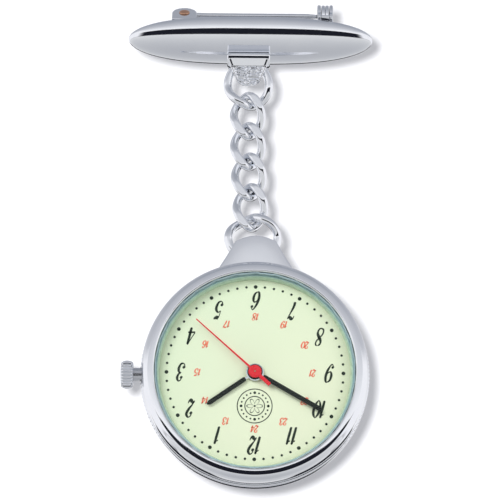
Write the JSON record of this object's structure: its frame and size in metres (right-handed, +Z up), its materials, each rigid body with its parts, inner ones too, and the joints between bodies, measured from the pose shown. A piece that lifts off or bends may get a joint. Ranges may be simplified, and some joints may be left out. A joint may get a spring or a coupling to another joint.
{
  "type": "fob watch",
  "caption": "Pin-on fob watch: a domed brooch bar with a hinged pin, a short curb chain and an upside-down round quartz watch head with a hooded lug and side crown.",
  "frame": {"origin": "on the brooch pin's axis, in the middle of the bar's length; the watch hangs below it", "axes": "+Z up, -Y out of the dial towards the reader, +X along the bar to the catch; the crown points to -X"},
  "size_m": [0.0399, 0.01, 0.0809],
  "materials": {
    "polished_chrome": "mirror polished",
    "steel": "fine satin",
    "copper_rivet": "turned coppery rivet",
    "coil_wire": "enamelled copper winding",
    "movement_brass": "fine satin",
    "window_glass": "clear flat mineral glass",
    "luminous_dial": "matte pale green luminous coat",
    "black_hands": "satin black",
    "red_hand": "gloss red",
    "tinted_flange": "gloss, pale teal",
    "movement_plastic": "moulded",
    "board_green": "solder mask",
    "seal_rubber": "matte"
  },
  "bodies": {
    "pin_bar": {"bar_shell": "polished_chrome", "bar_back_plate": "polished_chrome", "pin_bracket": "polished_chrome", "hinge_rivet": "copper_rivet", "catch_bracket": "polished_chrome", "bar_bail": "polished_chrome"},
    "pin": {"brooch_pin": "steel"},
    "catch": {"catch_lock": "polished_chrome"},
    "top_ring": {"top_ring": "polished_chrome"},
    "link_1": {"curb_link_1": "polished_chrome"},
    "link_2": {"curb_link_2": "polished_chrome"},
    "link_3": {"curb_link_3": "polished_chrome"},
    "link_4": {"curb_link_4": "polished_chrome"},
    "bottom_ring": {"bottom_ring": "polished_chrome"},
    "watch_head": {"case_lug": "polished_chrome", "case_middle": "polished_chrome", "bezel": "polished_chrome", "crystal": "window_glass", "crystal_gasket": "seal_rubber", "dial_flange": "tinted_flange", "dial": "luminous_dial", "movement_holder": "movement_plastic", "main_plate": "movement_brass", "train_bridge": "movement_brass", "stator": "steel", "coil_core": "steel", "coil_winding": "coil_wire", "circuit_board": "board_green", "quartz_can": "steel", "battery": "steel", "battery_clip": "steel", "bridge_screw_1": "steel", "bridge_screw_2": "steel", "crown_tube": "steel", "case_back": "steel", "back_gasket": "seal_rubber"},
    "crown_slide": {"crown_seal": "seal_rubber"},
    "crown": {"crown": "polished_chrome", "stem": "steel"},
    "second_hand": {"second_hand": "red_hand", "seconds_wheel": "movement_brass"},
    "rotor": {"rotor": "steel"},
    "intermediate_wheel": {"intermediate_wheel": "movement_plastic"},
    "third_wheel": {"third_wheel": "movement_brass"},
    "centre_wheel": {"centre_wheel": "movement_brass"},
    "minute_hand": {"minute_hand": "black_hands", "cannon_pinion": "steel"},
    "minute_wheel": {"minute_wheel": "movement_brass"},
    "hour_hand": {"hour_hand": "black_hands", "hour_wheel": "movement_brass"}
  },
  "joints": [
    {"name": "pin_swing", "type": "hinge", "parent": "pin_bar", "child": "pin", "pos_m": [-0.0108, -0.00071, -0.00064], "axis": [0, -0.6691, 0.7431], "range_deg": [0, 60]},
    {"name": "catch_turn", "type": "hinge", "parent": "pin_bar", "child": "catch", "pos_m": [0.0121, 0, 0], "axis": [1, 0, 0], "range_deg": [0, 100]},
    {"name": "top_ring_swing", "type": "hinge", "parent": "pin_bar", "child": "top_ring", "pos_m": [-0.0003, -0.0024, -0.00898], "axis": [1, 0, 0], "range_deg": [-12, 12]},
    {"name": "link_1_sway", "type": "hinge", "parent": "top_ring", "child": "link_1", "pos_m": [-0.00032, -0.0024, -0.0152], "axis": [0, 1, 0], "range_deg": [-12, 12]},
    {"name": "link_2_swing", "type": "hinge", "parent": "link_1", "child": "link_2", "pos_m": [-0.00031, -0.0024, -0.02031], "axis": [1, 0, 0], "range_deg": [-12, 12]},
    {"name": "link_3_sway", "type": "hinge", "parent": "link_2", "child": "link_3", "pos_m": [-0.00018, -0.0024, -0.02542], "axis": [0, 1, 0], "range_deg": [-12, 12]},
    {"name": "link_4_swing", "type": "hinge", "parent": "link_3", "child": "link_4", "pos_m": [0.00006, -0.0024, -0.03053], "axis": [1, 0, 0], "range_deg": [-12, 12]},
    {"name": "bottom_ring_sway", "type": "hinge", "parent": "link_4", "child": "bottom_ring", "pos_m": [0.00042, -0.0024, -0.03564], "axis": [0, 1, 0], "range_deg": [-12, 6]},
    {"name": "head_swing", "type": "hinge", "parent": "bottom_ring", "child": "watch_head", "pos_m": [0.00115, -0.0024, -0.04149], "axis": [1, 0, 0], "range_deg": [-6, 25]},
    {"name": "crown_pull", "type": "slide", "parent": "watch_head", "child": "crown_slide", "axis": [-1, 0, 0], "range_m": [0, 0.0007]},
    {"name": "crown_turn", "type": "hinge", "parent": "crown_slide", "child": "crown", "pos_m": [-0.0181, -0.00255, -0.06079], "axis": [-1, 0, 0], "continuous": true},
    {"name": "second_hand_turn", "type": "hinge", "parent": "watch_head", "child": "second_hand", "pos_m": [0.00115, -0.00465, -0.06079], "axis": [0, 1, 0], "continuous": true},
    {"name": "rotor_turn", "type": "hinge", "parent": "watch_head", "child": "rotor", "pos_m": [-0.00276, -0.00185, -0.06283], "axis": [0, 1, 0], "continuous": true},
    {"name": "intermediate_turn", "type": "hinge", "parent": "watch_head", "child": "intermediate_wheel", "pos_m": [-0.00092, -0.00235, -0.06154], "axis": [0, 1, 0], "continuous": true},
    {"name": "third_turn", "type": "hinge", "parent": "watch_head", "child": "third_wheel", "pos_m": [0.00172, -0.00215, -0.05754], "axis": [0, 1, 0], "continuous": true},
    {"name": "centre_turn", "type": "hinge", "parent": "watch_head", "child": "centre_wheel", "pos_m": [0.00115, -0.00285, -0.06079], "axis": [0, 1, 0], "continuous": true},
    {"name": "minute_hand_turn", "type": "hinge", "parent": "watch_head", "child": "minute_hand", "pos_m": [0.00115, -0.00465, -0.06079], "axis": [0, 1, 0], "continuous": true},
    {"name": "minute_wheel_turn", "type": "hinge", "parent": "watch_head", "child": "minute_wheel", "pos_m": [-0.00097, -0.00385, -0.05956], "axis": [0, 1, 0], "continuous": true},
    {"name": "hour_hand_turn", "type": "hinge", "parent": "watch_head", "child": "hour_hand", "pos_m": [0.00115, -0.00465, -0.06079], "axis": [0, 1, 0], "continuous": true}
  ],
  "couplings": [
    {"joint": "rotor_turn", "follows": "second_hand_turn", "ratio": 30},
    {"joint": "intermediate_turn", "follows": "second_hand_turn", "ratio": -5},
    {"joint": "third_turn", "follows": "second_hand_turn", "ratio": -0.13333},
    {"joint": "centre_turn", "follows": "second_hand_turn", "ratio": 0.016667},
    {"joint": "minute_wheel_turn", "follows": "minute_hand_turn", "ratio": -0.33333},
    {"joint": "hour_hand_turn", "follows": "minute_hand_turn", "ratio": 0.083333}
  ]
}
